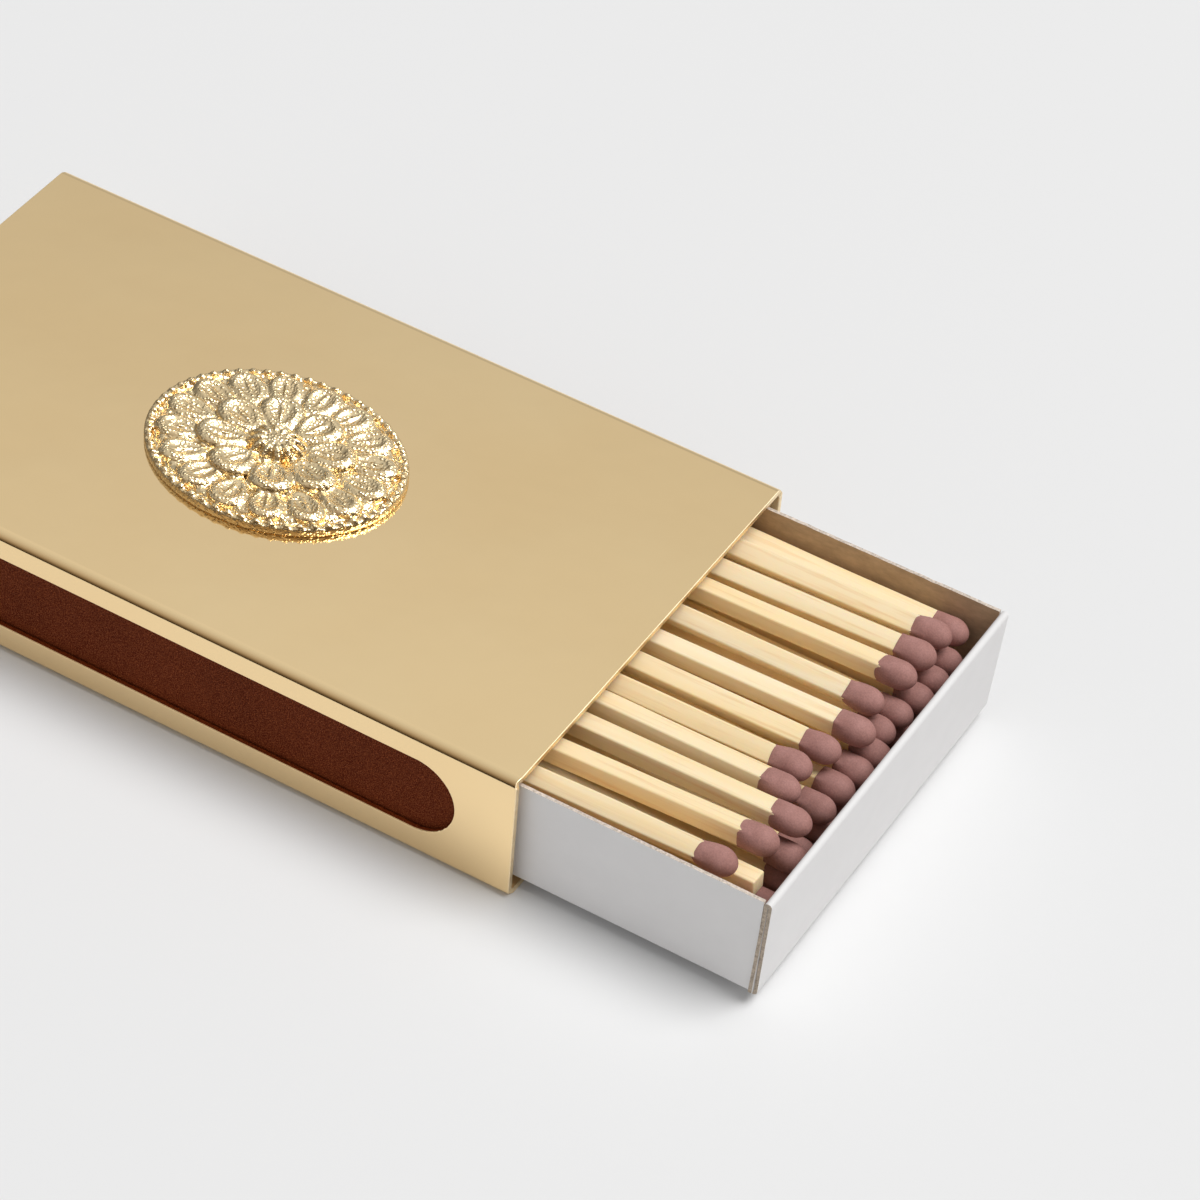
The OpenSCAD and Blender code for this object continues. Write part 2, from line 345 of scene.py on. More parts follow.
def makeSleeve():
    low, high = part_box("sleeve")
    sleeve = boxPiece("brassSleeve", low, high)
    pick("FACE", lambda f: abs(f.normal.x) > 0.9)
    bpy.ops.mesh.delete(type="FACE")
    pick("EDGE", lambda e: runs(e, 0))
    bpy.ops.mesh.bevel(offset=sleeveFit["bendRadius"], segments=sleeveFit["bendSteps"], affect="EDGES")
    leaveEdit()
    apply(sleeve, "SOLIDIFY", thickness=sleeveFit["sheetThick"], offset=-1, use_even_offset=True)
    shapeBends(sleeve, low, high)
    cutter = slotCutter(low, high)
    apply(sleeve, "BOOLEAN", operation="DIFFERENCE", object=cutter, solver="EXACT")
    bpy.data.objects.remove(cutter)
    apply(sleeve, "BEVEL", width=sleeveFit["edgeEase"], segments=sleeveFit["easeSteps"],
          limit_method="ANGLE", angle_limit=math.radians(sleeveFit["easeFrom"]), harden_normals=True)
    smooth(sleeve)
    apply(sleeve, "WEIGHTED_NORMAL", keep_sharp=True, weight=80)
    finished(sleeve, "holder", "brass_sheet", brassSheet, "sleeve")
    sleeve.data.materials.append(cutBrass)
    for face in sleeve.data.polygons:
        if abs(face.normal.x) > 0.2 and abs(face.center.x) > high.x - sleeveFit["cutDepth"]:
            face.material_index = 1


makeSleeve()
print("sleeve made")


# rosette: three rings of scooped petals around a fluted boss, on a moulded plate with a beaded rim

rosetteFit = {"plateThick": 0.75 * mm, "rimThick": 1.2 * mm, "rimWidth": 1.0 * mm, "rimSlope": 0.35 * mm,
              "rimEase": 0.3 * mm, "bossRadius": 3.6 * mm, "bossFoot": 0.9 * mm, "bossLobes": 12,
              "lobeSize": (1.7 * mm, 0.62 * mm, 0.9 * mm), "lobeRing": 2.9 * mm, "lobeHeight": 2.1 * mm,
              "lobeTilt": 35, "rimBeads": 56, "beadSize": 0.62 * mm, "beadInset": 0.72 * mm,
              "beadHeight": 1.1 * mm, "foot": 0.25 * mm, "footSink": 0.02 * mm, "grain": 0.185 * mm,
              "smoothing": 5}
# for each ring: a petal's length, width, height and scoop, then how many petals there are, how far out
# and how high they sit, their tilt in degrees, and the ring's turn in petals
petalRings = {"outerPetal": ((8.0 * mm, 5.4 * mm, 2.0 * mm, 0.72), 16, 13.1 * mm, 1.15 * mm, 3, 0),
              "tuckedPetal": ((6.4 * mm, 4.6 * mm, 1.5 * mm, 0.6), 16, 13.6 * mm, 0.78 * mm, 0, 0.5),
              "innerPetal": ((8.2 * mm, 6.4 * mm, 2.3 * mm, 0.72), 8, 7.2 * mm, 1.5 * mm, 5, 0.5)}
# the shape of one petal, as shares of a ball with a radius of 1
petalFit = {"taper": 0.55, "hollowPlace": (0.12, 0, 1.05), "hollowSize": (0.72, 0.66), "hollowTaper": 0.5,
            "ribPlace": (0.05, 0, 0.35), "ribSize": (0.78, 0.09, 0.36)}


def petalShape(name, length, width, height, scoop):
    # a spoon: a flattened ball, narrower at its foot, with a smaller ball cut out and a rib laid in it
    petal = ballPiece(name, 32, 20)
    apply(petal, "SIMPLE_DEFORM", deform_method="TAPER", deform_axis="X", factor=petalFit["taper"])
    hollow = ballPiece("petalHollow", 32, 20, location=petalFit["hollowPlace"],
                       scale=(*petalFit["hollowSize"], scoop))
    apply(hollow, "SIMPLE_DEFORM", deform_method="TAPER", deform_axis="X", factor=petalFit["hollowTaper"])
    apply(petal, "BOOLEAN", operation="DIFFERENCE", object=hollow, solver="EXACT")
    bpy.data.objects.remove(hollow)
    rib = ballPiece("petalRib", 16, 10, location=petalFit["ribPlace"], scale=petalFit["ribSize"])
    petal = join([petal, rib], name)
    petal.data.transform(Matrix.Diagonal((length / 2, width / 2, height / 2, 1)))
    return petal


def ringOf(master, count, radius, height, tilt=0, phase=0):
    copies = []
    for index in range(count):
        turn = 2 * math.pi * (index + phase) / count
        copy = copyOf(master, master.name + str(index))
        copy.data.transform(Matrix.Rotation(turn, 4, "Z") @ Matrix.Translation((radius, 0, height))
                            @ Matrix.Rotation(-math.radians(tilt), 4, "Y"))
        copies.append(copy)
    bpy.data.objects.remove(master)
    return copies


def makeRosette():
    low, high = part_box("rosette")
    radius = (high.x - low.x) / 2
    tall = high.z - low.z
    only(None)
    bpy.ops.mesh.primitive_cylinder_add(vertices=128, radius=radius, depth=rosetteFit["rimThick"],
                                        location=(0, 0, rosetteFit["rimThick"] / 2))
    plate = named("rosettePlate")
    pick("FACE", lambda f: f.normal.z > 0.9)
    bpy.ops.mesh.inset(thickness=rosetteFit["rimWidth"])
    bpy.ops.mesh.inset(thickness=rosetteFit["rimSlope"])
    bpy.ops.transform.translate(value=(0, 0, rosetteFit["plateThick"] - rosetteFit["rimThick"]))
    rimTop = rosetteFit["rimThick"] - level
    pick("EDGE", lambda e: middle(e).z > rimTop and middle(e).xy.length > 0.9 * radius)
    bpy.ops.mesh.bevel(offset=rosetteFit["rimEase"], segments=4, affect="EDGES")
    leaveEdit()
    parts = [plate]
    for name, (size, count, ring, height, tilt, phase) in petalRings.items():
        parts += ringOf(petalShape(name, *size), count, ring, height, tilt, phase)
    foot, boss = rosetteFit["bossFoot"], rosetteFit["bossRadius"]
    parts.append(ballPiece("rosetteBoss", 48, 24, location=(0, 0, foot), scale=(boss, boss, tall - foot)))
    lobe = ballPiece("bossLobe", 24, 14, scale=rosetteFit["lobeSize"])
    parts += ringOf(lobe, rosetteFit["bossLobes"], rosetteFit["lobeRing"], rosetteFit["lobeHeight"],
                    -rosetteFit["lobeTilt"])
    bead = ballPiece("rimBead", 16, 10, radius=rosetteFit["beadSize"])
    parts += ringOf(bead, rosetteFit["rimBeads"], radius - rosetteFit["beadInset"],
                    rosetteFit["beadHeight"])
    rosette = join(parts, "rosetteCasting")
    only(rosette)
    bpy.ops.object.mode_set(mode="EDIT")
    bpy.ops.mesh.select_all(action="SELECT")
    bpy.ops.mesh.bisect(plane_co=(0, 0, 0), plane_no=(0, 0, 1), use_fill=True, clear_inner=True)
    leaveEdit()
    apply(rosette, "REMESH", mode="VOXEL", voxel_size=rosetteFit["grain"], use_smooth_shade=True)
    apply(rosette, "SMOOTH", factor=0.5, iterations=rosetteFit["smoothing"])
    top = max(v.co.z for v in rosette.data.vertices)
    reach = max(v.co.x for v in rosette.data.vertices)
    stretch = Matrix.Diagonal((radius / reach, (high.y - low.y) / 2 / reach, tall / top, 1))
    rosette.data.transform(Matrix.Translation((0, 0, low.z)) @ stretch)
    only(rosette)
    pick("VERT", lambda v: v.co.z < low.z + rosetteFit["foot"])  # the flat foot on the lid
    bpy.ops.transform.resize(value=(1, 1, 0), center_override=(0, 0, low.z + rosetteFit["footSink"]))
    leaveEdit()
    smooth(rosette, 180)
    return finished(rosette, "holder", "brass_casting", brassCasting, "rosette")


rosette = makeRosette()
print("rosette made:", len(rosette.data.polygons), "faces")


# card

cardLook = {"coated": (0.785, 0.77, 0.765), "kraft": (0.54, 0.375, 0.225), "raw": (0.64, 0.55, 0.47),
            "worn": (0.46, 0.38, 0.30), "mottle": (260, 4, 0.6), "mottleDepth": 0.012 * mm,
            "swell": (70, 3), "swellDepth": 0.06 * mm, "tooth": (2200, 2), "toothDepth": 0.003 * mm,
            "fibre": (1500, 4, 0.65, (0.35, 1, 1)), "fibreDepth": 0.03 * mm, "blotch": (240, 4, 0.6),
            "cutFibre": (2600, 4, 0.7), "cutDepth": 0.08 * mm}


def coatedCardMaterial():
    material, tree, shader = newMaterial("coatedCard", Roughness=0.5, Specular_IOR_Level=0.35)
    mottle = noiseAt(tree, *cardLook["mottle"])
    tint = ramp(tree, mottle, [(0.3, shade(cardLook["coated"], 0.975)), (0.7, cardLook["coated"])])
    tree.links.new(tint, shader.inputs["Base Color"])
    bumped(tree, shader, (noiseAt(tree, *cardLook["swell"]), cardLook["swellDepth"]),
           (mottle, cardLook["mottleDepth"]), (noiseAt(tree, *cardLook["tooth"]), cardLook["toothDepth"]))
    return material


def kraftMaterial():
    material, tree, shader = newMaterial("kraftCard", Roughness=0.85)
    fibre = noiseAt(tree, *cardLook["fibre"])
    blotch = noiseAt(tree, *cardLook["blotch"])
    stops = [(0.3, shade(cardLook["kraft"], 0.72)), (0.7, shade(cardLook["kraft"], 1.22))]
    colour = mixed(tree, 0.5, ramp(tree, fibre, stops), ramp(tree, blotch, stops))
    tree.links.new(colour, shader.inputs["Base Color"])
    bumped(tree, shader, (fibre, cardLook["fibreDepth"]))
    return material


def edgeMaterial(name, tone):
    material, tree, shader = newMaterial(name, Roughness=0.9)
    fibre = noiseAt(tree, *cardLook["cutFibre"])
    tint = ramp(tree, fibre, [(0.3, shade(cardLook[tone], 0.6)), (0.68, shade(cardLook[tone], 1.35))])
    tree.links.new(tint, shader.inputs["Base Color"])
    bumped(tree, shader, (fibre, cardLook["cutDepth"]))
    return material


coatedCard, kraftCard = coatedCardMaterial(), kraftMaterial()
rawEdge, wornEdge = edgeMaterial("rawCardEdge", "raw"), edgeMaterial("wornCardEdge", "worn")


def thickenCard(piece, thickness, inside, edge):
    # coated outside, with the given materials on its inner face and along its cut edges
    piece.data.materials.clear()
    for material in (coatedCard, inside, edge):
        piece.data.materials.append(material)
    apply(piece, "SOLIDIFY", thickness=thickness, offset=-1, use_even_offset=True,
          material_offset=1, material_offset_rim=2)


coverFit = {"cardThick": 0.45 * mm, "foldRadius": 0.6 * mm, "foldSteps": 5, "cuts": 40, "fray": 0.04 * mm,
            "frayScale": 900}


def makeCover():
    low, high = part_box("card_cover")
    cover = boxPiece("cardCover", low, high)
    pick("FACE", lambda f: abs(f.normal.x) > 0.9)
    bpy.ops.mesh.delete(type="FACE")
    pick("EDGE", lambda e: runs(e, 0))
    bpy.ops.mesh.bevel(offset=coverFit["foldRadius"], segments=coverFit["foldSteps"], affect="EDGES")
    pick("EDGE", lambda e: runs(e, 0))
    bpy.ops.mesh.subdivide(number_cuts=coverFit["cuts"])
    leaveEdit()
    for vertex in cover.data.vertices:
        if abs(abs(vertex.co.x) - high.x) < level:
            torn = coverFit["fray"] * (1 + noise.noise(vertex.co * coverFit["frayScale"]))
            vertex.co.x -= math.copysign(torn, vertex.co.x)
    thickenCard(cover, coverFit["cardThick"], kraftCard, rawEdge)
    smooth(cover)
    finished(cover, "matchbox", "cover_card", None, "card_cover")


makeCover()


strikerLook = {"red": (0.094, 0.013, 0.0035), "dark": (0.072, 0.0085, 0.002), "spark": (0.22, 0.065, 0.018),
               "cloud": (90, 3), "grit": (6600, 2, 0.6), "gritDepth": 0.06 * mm}


def strikerMaterial():
    material, tree, shader = newMaterial("strikingCoat", Roughness=0.8, Specular_IOR_Level=0.06)
    grit = noiseAt(tree, *strikerLook["grit"])
    cloud = noiseAt(tree, *strikerLook["cloud"])
    ground = ramp(tree, cloud, [(0.3, strikerLook["dark"]), (0.7, strikerLook["red"])])
    spark = ramp(tree, grit, [(0.45, (0, 0, 0)), (0.72, strikerLook["spark"])])
    tree.links.new(mixed(tree, 1.0, ground, spark, "ADD"), shader.inputs["Base Color"])
    tree.links.new(between(tree, grit, 0.9, 0.35, 0.4, 0.75), shader.inputs["Roughness"])
    bumped(tree, shader, (grit, strikerLook["gritDepth"]))
    return material


strikingCoat = strikerMaterial()
for name in ("striker_near", "striker_far"):
    nodes[name].data.materials.clear()
    nodes[name].data.materials.append(strikingCoat)
print("cover and striking strips made")


# tray: a folded trough and two end panels of card folded double

trayFit = {"cardThick": 0.5 * mm, "panelThick": 1.05 * mm, "panelLean": 0.65 * mm, "wallLean": 0.5 * mm,
           "foldRadius": 0.6 * mm, "foldSteps": 5, "seam": 0.08 * mm, "farBow": 0.18 * mm,
           "nearBow": 0.1 * mm, "floorReach": 25 * mm, "fray": 0.07 * mm, "frayScales": (700, 2500),
           "sideFrayScale": 1200, "rimDip": 0.05 * mm, "rimDipScale": 150, "flapRise": 0.55 * mm,
           "wallCuts": (150, 6), "panelCuts": (60, 20)}


def trayShell(name, keep):
    # a box that widens to its rim, with only the wanted faces left
    low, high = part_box("tray")
    lean = Vector((trayFit["panelLean"], trayFit["wallLean"], 0))
    shell = boxPiece(name, low + lean, high - lean)
    middleOfTop = ((low.x + high.x) / 2, (low.y + high.y) / 2, high.z)
    foot = high - low - 2 * lean
    pick("VERT", lambda v: v.co.z > (low.z + high.z) / 2)
    bpy.ops.transform.resize(value=((high.x - low.x) / foot.x, (high.y - low.y) / foot.y, 1),
                             center_override=middleOfTop)
    pick("FACE", lambda f: not keep(f.normal))
    bpy.ops.mesh.delete(type="FACE")
    return shell


def makeTrough():
    trough = trayShell("cardTray", lambda n: n.z < 0.5 and abs(n.x) < 0.5)
    pick("EDGE", lambda e: runs(e, 0) and middle(e).z < 5 * mm)
    bpy.ops.mesh.bevel(offset=trayFit["foldRadius"], segments=trayFit["foldSteps"], affect="EDGES")
    along, upright = trayFit["wallCuts"]
    pick("EDGE", lambda e: runs(e, 0))
    bpy.ops.mesh.subdivide(number_cuts=along)
    pick("EDGE", lambda e: not runs(e, 0) and e.calc_length() > 10 * mm and not runs(e, 1))
    bpy.ops.mesh.subdivide(number_cuts=upright)
    leaveEdit()
    low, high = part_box("tray")
    inset = trayFit["panelThick"] + trayFit["seam"]
    coarse, fine = trayFit["frayScales"]
    centre = (low.y + high.y) / 2
    for vertex in trough.data.vertices:
        up = min(1, max(0, (vertex.co.z - low.z) / (high.z - low.z)))
        share = (vertex.co.x - low.x) / (high.x - low.x)
        vertex.co.x += inset * (1 - 2 * share)  # room for the end panels
        if abs(vertex.co.y - centre) < trayFit["floorReach"]:
            continue
        bow = trayFit["farBow"] if vertex.co.y > centre else trayFit["nearBow"]
        vertex.co.y -= bow * math.sin(math.pi * share) * up ** 1.5
        if up > 0.98:
            torn = noise.noise(vertex.co * coarse) + 0.5 * noise.noise(vertex.co * fine)
            vertex.co.z -= trayFit["fray"] * (0.5 + torn)
    thickenCard(trough, trayFit["cardThick"], kraftCard, rawEdge)
    return trough


def makePanel(side):
    # the outer ply turns over at the top and comes down inside, and its foot turns under into the floor
    panel = trayShell("endPanel", lambda n: n.x * side > 0.5)
    low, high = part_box("tray")
    radius, fold = trayFit["panelThick"] / 2, trayFit["foldRadius"]
    topX = high.x if side > 0 else low.x
    footX = topX - side * trayFit["panelLean"]
    pick("EDGE", lambda e: middle(e).z > high.z - 0.1 * mm)
    bpy.ops.transform.translate(value=(0, 0, -radius))
    bpy.ops.mesh.spin(steps=8, angle=side * math.pi, axis=(0, 1, 0),
                      center=(topX - side * radius, 0, high.z - radius))
    bpy.ops.mesh.extrude_region_move(TRANSFORM_OT_translate={
        "value": (-side * trayFit["panelLean"], 0, low.z + trayFit["flapRise"] - high.z + radius)})
    pick("EDGE", lambda e: middle(e).z < low.z + 0.1 * mm)
    bpy.ops.transform.translate(value=(0, 0, fold))
    bpy.ops.mesh.spin(steps=trayFit["foldSteps"], angle=-side * math.pi / 2, axis=(0, 1, 0),
                      center=(footX - side * fold, 0, low.z + fold))
    bpy.ops.mesh.select_all(action="SELECT")
    bpy.ops.mesh.remove_doubles(threshold=same)
    across, upright = trayFit["panelCuts"]
    pick("EDGE", lambda e: runs(e, 1))
    bpy.ops.mesh.subdivide(number_cuts=across)
    pick("EDGE", lambda e: e.calc_length() > 8 * mm)
    bpy.ops.mesh.subdivide(number_cuts=upright)
    leaveEdit()
    centre = (low.y + high.y) / 2
    for vertex in panel.data.vertices:
        share = abs(vertex.co.y - centre) / ((high.y - low.y) / 2)
        if share > 0.985:
            torn = trayFit["fray"] * noise.noise(vertex.co * trayFit["sideFrayScale"])
            vertex.co.y += math.copysign(torn, vertex.co.y - centre)
        if vertex.co.z > high.z - 0.6 * mm:
            dip = noise.noise(Vector((vertex.co.y, 0, side)) * trayFit["rimDipScale"])
            vertex.co.z -= trayFit["rimDip"] * (0.5 + dip)
    only(panel)
    bpy.ops.object.mode_set(mode="EDIT")
    bpy.ops.mesh.select_all(action="SELECT")
    bpy.ops.mesh.normals_make_consistent(inside=False)
    leaveEdit()
    outward = sum(f.normal.x for f in panel.data.polygons if f.center.x * side > footX * side)
    if outward * side < 0:  # the outer ply has to face away from the tray
        bpy.ops.object.mode_set(mode="EDIT")
        bpy.ops.mesh.flip_normals()
        leaveEdit()
    thickenCard(panel, trayFit["cardThick"], coatedCard, wornEdge)
    return panel


def makeTray():
    tray = join([makeTrough(), makePanel(1), makePanel(-1)], "cardTray")
    smooth(tray)
    finished(tray, "tray", "tray_card", None, "tray")


makeTray()
print("tray made")


# matches

splintLook = {"pale": (0.99, 0.825, 0.57), "warm": (0.96, 0.73, 0.40), "streak": (0.80, 0.52, 0.23),
              "grain": (1500, 3, 0.6, (0.03, 1, 1)), "grainDepth": 0.04 * mm,
              "bands": (500, 2, 0.5, (0.05, 1, 1)), "bandDepth": 0.05 * mm,
              # the lower rows' share moves their splints towards the warm colour: painted warm shade
              # between the rows
              "toneSpread": 0.6, "lowerTone": 0.4}


def splintMaterial():
    material, tree, shader = newMaterial("splintWood", Roughness=0.6, Specular_IOR_Level=0.3,
                                         Subsurface_Weight=0.2, Subsurface_Radius=(1.0, 0.5, 0.2),
                                         Subsurface_Scale=1.2 * mm)
    tone = addNode(tree, "Attribute", {"attribute_name": "tone"}).outputs["Fac"]
    grain = noiseAt(tree, *splintLook["grain"])
    bands = noiseAt(tree, *splintLook["bands"])
    # the attribute moves the colour from pale to warm: random tone, and for the lower rows painted warm
    # shade
    ground = mixed(tree, tone, splintLook["pale"], splintLook["warm"])
    banded = mixed(tree, between(tree, bands, 0, 0.8, 0.45, 0.7), ground, splintLook["warm"])
    streaked = mixed(tree, between(tree, grain, 0, 0.65, 0.55, 0.78), banded, splintLook["streak"])
    tree.links.new(streaked, shader.inputs["Base Color"])
    bumped(tree, shader, (grain, splintLook["grainDepth"]), (bands, splintLook["bandDepth"]))
    return material


# the lower rows' factor makes the heads below the top row darker: painted shade
headLook = {"light": (0.45, 0.226, 0.198), "dark": (0.38, 0.182, 0.155), "lowerRows": 0.88,
            "blotch": (500, 3), "fine": (4500, 3, 0.6), "fineDepth": 0.035 * mm, "lumpDepth": 0.04 * mm}


def headMaterial():
    material, tree, shader = newMaterial("headCompound", Roughness=0.78)
    blotch = noiseAt(tree, *headLook["blotch"])
    fine = noiseAt(tree, *headLook["fine"])
    ground = ramp(tree, blotch, [(0.3, headLook["dark"]), (0.7, headLook["light"])])
    speck = ramp(tree, fine, [(0.3, (0.82, 0.82, 0.82)), (0.7, (1.1, 1.1, 1.1))])
    speckled = mixed(tree, 1.0, ground, speck, "MULTIPLY")
    tone = addNode(tree, "Attribute", {"attribute_name": "tone"}).outputs["Fac"]
    # heads below the top row are multiplied darker here: painted shade, as if under the top row
    withPaintedRowShade = mixed(tree, 1.0, speckled, between(tree, tone, 1, headLook["lowerRows"]), "MULTIPLY")
    tree.links.new(withPaintedRowShade, shader.inputs["Base Color"])
    bumped(tree, shader, (fine, headLook["fineDepth"]), (blotch, headLook["lumpDepth"]))
    return material


splintWood, headCompound = splintMaterial(), headMaterial()

matchFit = {"length": 99.1 * mm, "side": 2.65 * mm, "edge": 0.26 * mm, "hidden": 1.3 * mm, "steps": 30,
            "bow": 0.25 * mm, "widths": (0.99, 1.04), "heights": (0.97, 1.03), "carve": 0.05,
            "wobble": (0.07 * mm, 0.05 * mm), "wobbleScale": 60, "cap": 0.9 * mm, "headLength": 5.3 * mm,
            "headThick": 4.0 * mm, "peak": 0.46, "shoulder": 0.75, "corners": 0.8, "coat": 0.09 * mm,
            "headSizes": (0.95, 1.02), "lump": 0.035, "lumpScale": 420, "dipLine": 0.4 * mm,
            "dipScale": 260, "dipReach": 1.6 * mm}


def solidsOf(node):
    # the corner points of each separate solid in a node
    mesh = bmesh.new()
    mesh.from_mesh(nodes[node].data)
    bmesh.ops.remove_doubles(mesh, verts=mesh.verts, dist=same)
    waiting = dict.fromkeys(mesh.verts)  # a dictionary keeps its order, so every run is the same
    solids = []
    while waiting:
        stack = [waiting.popitem()[0]]
        solid = []
        while stack:
            vertex = stack.pop()
            solid.append(vertex.co.copy())
            for edge in vertex.link_edges:
                other = edge.other_vert(vertex)
                if other in waiting:
                    del waiting[other]
                    stack.append(other)
        solids.append(solid)
    mesh.free()
    return solids


def mean(points):
    return sum(points, Vector()) / len(points)


def lieOf(corners, heads):
    # the place of one match: origin at the head end of its splint, X towards the head
    halfway = mean(corners).x
    ends = [[c for c in corners if c.x > halfway], [c for c in corners if c.x <= halfway]]
    centres = [mean(end) for end in ends]
    head = min(heads, key=lambda h: min((h - c).length for c in centres))
    tip = 0 if (head - centres[0]).length < (head - centres[1]).length else 1
    along = (centres[tip] - centres[1 - tip]).normalized()
    side = Vector((0, 0, 1)).cross(along).normalized()
    up = along.cross(side)
    corner = ends[tip][0] - centres[tip]
    roll = math.atan2(corner.dot(up), corner.dot(side)) - math.pi / 4
    roll -= round(roll / (math.pi / 2)) * math.pi / 2
    frameOf = Matrix((along, side, up)).transposed().to_4x4()
    matrix = Matrix.Translation(centres[tip]) @ frameOf @ Matrix.Rotation(roll, 4, "X")
    return matrix, (centres[0] - centres[1]).length


def splintMaster(length):
    half = matchFit["side"] / 2
    splint = boxPiece("splintMaster", (-length, -half, -half), (-matchFit["hidden"], half, half))
    apply(splint, "BEVEL", width=matchFit["edge"], segments=3, limit_method="ANGLE")
    pick("EDGE", lambda e: runs(e, 0) and e.calc_length() > length / 2)
    bpy.ops.mesh.subdivide(number_cuts=matchFit["steps"])
    leaveEdit()
    return splint


def headMaster():
    # an egg whose back end takes the splint's square shape
    head = ballPiece("headMaster", 40, 28, rotation=(0, math.pi / 2, 0))
    half = matchFit["side"] / 2 + matchFit["coat"]
    back = 1 - matchFit["peak"]
    for vertex in head.data.vertices:
        u = (vertex.co.x + 1) / 2
        around = math.atan2(vertex.co.z, vertex.co.y)
        if u < back:
            rise = math.sin(math.pi / 2 * u / back) ** matchFit["shoulder"]
            squareness = 1 - rise
            radius = matchFit["headThick"] / 2
        else:
            rise, squareness = 1, 0
            radius = matchFit["headThick"] / 2 * math.sqrt(max(0, 1 - ((u - back) / matchFit["peak"]) ** 2))
        square = half / max(abs(math.cos(around)), abs(math.sin(around))) ** matchFit["corners"]
        radius = radius * (1 - squareness) + square * squareness
        if abs(vertex.co.x) > 0.9999:
            radius = 0
        vertex.co = Vector(((u - 1) * matchFit["headLength"] + matchFit["cap"],
                            radius * math.cos(around), radius * math.sin(around)))
    return head


def layMatches(splintNodes, headNodes, splintNames, headNames):
    # one splint and one head for each solid, all those past the last name under that name
    heads = [mean(solid) for node in headNodes for solid in solidsOf(node)]
    made = {name: [] for name in splintNames + headNames}
    solids = [solid for node in splintNodes for solid in solidsOf(node)]
    for index, corners in enumerate(solids):
        matrix, length = lieOf(corners, heads)
        splintName = splintNames[min(index, len(splintNames) - 1)]
        headName = headNames[min(index, len(headNames) - 1)]
        made[splintName].append(shapeSplint(splintName, matrix, length, index))
        made[headName].append(shapeHead(headName, matrix, index))
    return made


# a value for each piece: for splints a random tone of the wood plus painted warm shade in the lower rows,
# for heads only painted shade of the lower rows
def setToneAndShade(piece, value):
    tone = piece.data.attributes.new("tone", "FLOAT", "POINT")
    tone.data.foreach_set("value", [value] * len(piece.data.vertices))


def shapeSplint(name, matrix, length, index):
    splint = copyOf(masters["splint"], name)
    bowY, bowZ = (random.uniform(-1, 1) * matchFit["bow"] for _ in range(2))
    wide, tall = random.uniform(*matchFit["widths"]), random.uniform(*matchFit["heights"])
    start = random.uniform(0, 50)  # every splint reads its own part of the noise
    carve, (wobbleY, wobbleZ) = matchFit["carve"], matchFit["wobble"]
    for vertex in splint.data.vertices:
        arch = math.sin(math.pi * -vertex.co.x / length)
        along = start + vertex.co.x * matchFit["wobbleScale"]
        wobble = noise.noise(Vector((along, index * 3.1, 0)))
        waver = noise.noise(Vector((along, index * 3.1, 7)))
        vertex.co.y = vertex.co.y * (wide + carve * wobble) + bowY * arch + wobbleY * wobble * arch
        vertex.co.z = vertex.co.z * (tall + carve * waver) + bowZ * arch + wobbleZ * waver * arch
    # splints below the top row are moved towards the warm colour: painted warm shade, added to their random
    # tone
    paintedRowShade = 0 if name.startswith("top") else splintLook["lowerTone"]
    setToneAndShade(splint, random.uniform(0, splintLook["toneSpread"]) + paintedRowShade)
    splint.data.transform(matrix)
    return splint


def shapeHead(name, matrix, index):
    head = copyOf(masters["head"], name)
    fat = random.uniform(*matchFit["headSizes"])
    start = Vector((index * 5.3, random.uniform(0, 9), 0))
    border = matchFit["cap"] - matchFit["headLength"]
    for vertex in head.data.vertices:
        lump = matchFit["lump"] * noise.noise(vertex.co * matchFit["lumpScale"] + start)
        vertex.co.y *= fat * (1 + lump)
        vertex.co.z *= fat * (1 + lump)
        nearBorder = max(0, 1 - (vertex.co.x - border) / matchFit["dipReach"])
        ragged = noise.noise(Vector((0, vertex.co.y, vertex.co.z)) * matchFit["dipScale"] + start)
        vertex.co.x += matchFit["dipLine"] * ragged * nearBorder
    # 0 for the top row and 1 below it, which darkens the lower heads as painted shade
    setToneAndShade(head, 0 if name.startswith("top") else 1)
    head.data.transform(matrix)
    return head


def finishSplint(splint, node):
    finished(smooth(splint, 40), "tray", "splint_wood", splintWood, node)


def finishHead(head, node):
    finished(smooth(head, 80), "tray", "head_compound", headCompound, node)


def makeMatches():
    for row in ("top", "second"):
        splintNodes = sorted(n for n in nodes if n.startswith(row + "_splint"))
        headNodes = sorted(n for n in nodes if n.startswith(row + "_head"))
        splintNames = [row + "Splint" + n[-2:] for n in splintNodes]
        headNames = [row + "Head" + n[-2:] for n in headNodes]
        made = layMatches(splintNodes, headNodes, splintNames, headNames)
        for name, node in zip(splintNames, splintNodes):
            finishSplint(made[name][0], node)
        for name, node in zip(headNames, headNodes):
            finishHead(made[name][0], node)
    made = layMatches(["lower_splints"], ["lower_heads"], ["lowerSplints"], ["lowerHeads"])
    splints = join(made["lowerSplints"], "lowerSplints")
    heads = join(made["lowerHeads"], "lowerHeads")
    finishSplint(splints, "lower_splints")
    finishHead(heads, "lower_heads")


masters = {"splint": splintMaster(matchFit["length"]), "head": headMaster()}
makeMatches()
for master in masters.values():
    bpy.data.objects.remove(master)
print("matches made")


# floor, light and camera

studio = {"floor": (0.80, 0.80, 0.80), "floorSize": 6, "backdrop": (0.847, 0.847, 0.847), "lampPower": 588,
          "lampSize": 4.7, "lampFrom": (0.38, 0.20, 0.90), "lampDistance": 8.0, "farRoom": 0.10,
          "nearRoom": 0.49, "leftRoom": 1.35, "rightRoom": 0.65, "flag": 0.3, "leftFlag": (-0.85, -0.5),
          "rightFlag": (0.75, 0.95), "warmCast": (0.3, 0.6)}
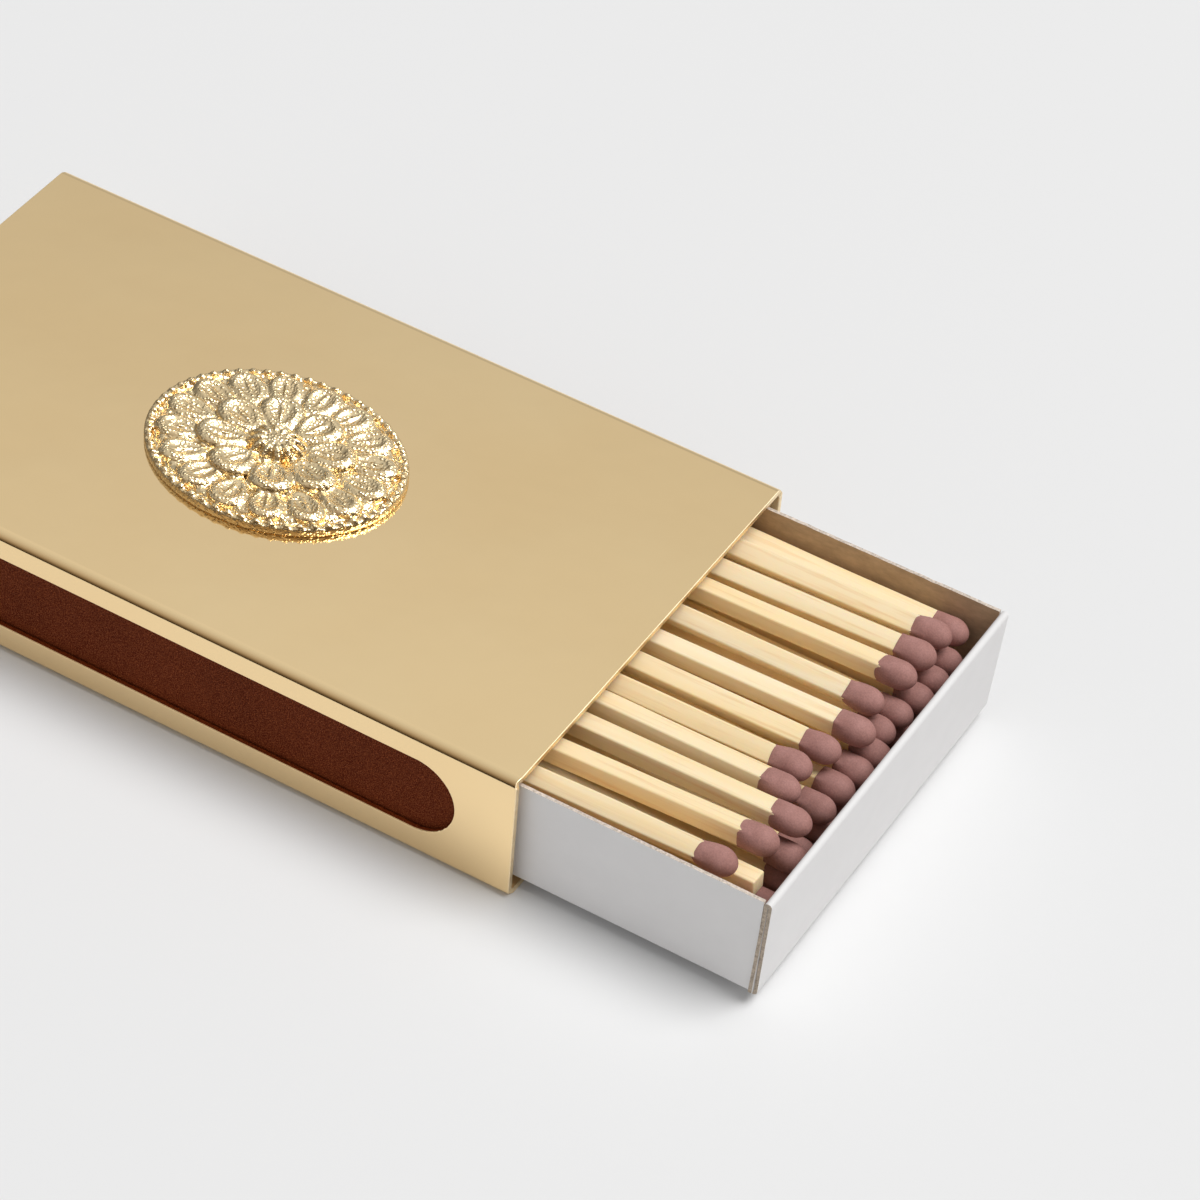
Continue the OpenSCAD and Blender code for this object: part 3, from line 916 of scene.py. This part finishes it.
# what the metal mirrors, from the horizon behind the box (0) over the top (0.5) to the one in front (1):
# the place, how light it is there, and how warm
mirrored = [(0.0, 0.58, 0), (0.12, 0.52, 0), (0.17, 0.5, 0), (0.21, 0.6, 0), (0.25, 0.735, 0),
            (0.33, 0.74, 0), (0.45, 0.68, 0), (0.545, 0.61, 0.1), (0.65, 0.5, 0.3), (0.77, 0.33, 0.6),
            (0.88, 0.13, 0.9), (0.95, 0.04, 1), (1.0, 0.01, 1)]
view = {"place": (0.24157, -0.37233, 0.41196), "azimuth": 27.263, "elevation": 43.008, "roll": 5.405,
        "lens": 134.6, "sensor": 36}


def makeFloor():
    only(None)
    bpy.ops.mesh.primitive_plane_add(size=studio["floorSize"], location=(0, 0, 0))
    floor = named("studioFloor")
    paper = {"Roughness": 0.95, "Base_Color": (*studio["floor"], 1), "Specular_IOR_Level": 0}
    floor.data.materials.append(newMaterial("floorPaper", **paper)[0])


def makeWorld():
    world = bpy.data.worlds.new("studioWorld")
    bpy.context.scene.world = world
    world.use_nodes = True
    tree = world.node_tree
    tree.nodes.clear()
    where = addNode(tree, "TexCoord").outputs["Generated"]
    parts = addNode(tree, "SeparateXYZ", Vector=where).outputs
    azimuth = math.radians(view["azimuth"])
    nearness = maths(tree, "ADD", maths(tree, "MULTIPLY", parts["X"], math.sin(azimuth)),
                     maths(tree, "MULTIPLY", parts["Y"], -math.cos(azimuth)))
    farness = maths(tree, "MULTIPLY", nearness, -1)
    over = maths(tree, "DIVIDE", maths(tree, "ARCTAN2", parts["Z"], farness), math.pi)
    green, blue = studio["warmCast"]
    overTop = ramp(tree, over, [(position, (light, light * (1 - green * warm), light * (1 - blue * warm)))
                                for position, light, warm in mirrored])
    # dark flags stand beside the box, left and right
    leftSide = between(tree, parts["X"], studio["flag"], 1, *studio["leftFlag"])
    rightSide = between(tree, parts["X"], 1, studio["flag"], *studio["rightFlag"])
    inMetal = mixed(tree, 1.0, overTop, maths(tree, "MULTIPLY", leftSide, rightSide), "MULTIPLY")
    toFront = between(tree, nearness, studio["farRoom"], studio["nearRoom"], -0.7, 0.7)
    toRight = between(tree, parts["X"], studio["leftRoom"], studio["rightRoom"], -0.8, 0.8)
    onCard = maths(tree, "MULTIPLY", toFront, toRight)
    rays = addNode(tree, "LightPath").outputs
    room = mixed(tree, rays["Is Glossy Ray"], onCard, inMetal)
    colour = mixed(tree, rays["Is Camera Ray"], room, studio["backdrop"])
    background = addNode(tree, "Background", Color=colour, Strength=1.0)
    output = addNode(tree, "OutputWorld")
    tree.links.new(background.outputs["Background"], output.inputs["Surface"])


def makeLamp():
    lamp = bpy.data.lights.new("softbox", "AREA")
    lamp.energy = studio["lampPower"]
    lamp.size = studio["lampSize"]
    holder = bpy.data.objects.new("softbox", lamp)
    bpy.context.scene.collection.objects.link(holder)
    direction = Vector(studio["lampFrom"]).normalized()
    holder.location = direction * studio["lampDistance"]
    holder.rotation_euler = direction.to_track_quat("Z", "Y").to_euler()


def makeCamera():
    azimuth, elevation, roll = (math.radians(view[key]) for key in ("azimuth", "elevation", "roll"))
    back = Vector((math.sin(azimuth) * math.cos(elevation), -math.cos(azimuth) * math.cos(elevation),
                   math.sin(elevation)))
    right = (-back).cross(Vector((0, 0, 1))).normalized()
    up = right.cross(-back)
    rightRolled = math.cos(roll) * right + math.sin(roll) * up
    upRolled = -math.sin(roll) * right + math.cos(roll) * up
    data = bpy.data.cameras.new("camera")
    data.lens, data.sensor_width = view["lens"], view["sensor"]
    data.sensor_fit = "HORIZONTAL"
    data.clip_start = 0.01
    camera = bpy.data.objects.new("camera", data)
    bpy.context.scene.collection.objects.link(camera)
    camera.matrix_world = (Matrix.Translation(view["place"])
                           @ Matrix((rightRolled, upRolled, back)).transposed().to_4x4())
    bpy.context.scene.camera = camera


makeFloor()
makeWorld()
makeLamp()
makeCamera()
bpy.context.scene.view_settings.view_transform = "Standard"
print("studio made")

only(None)
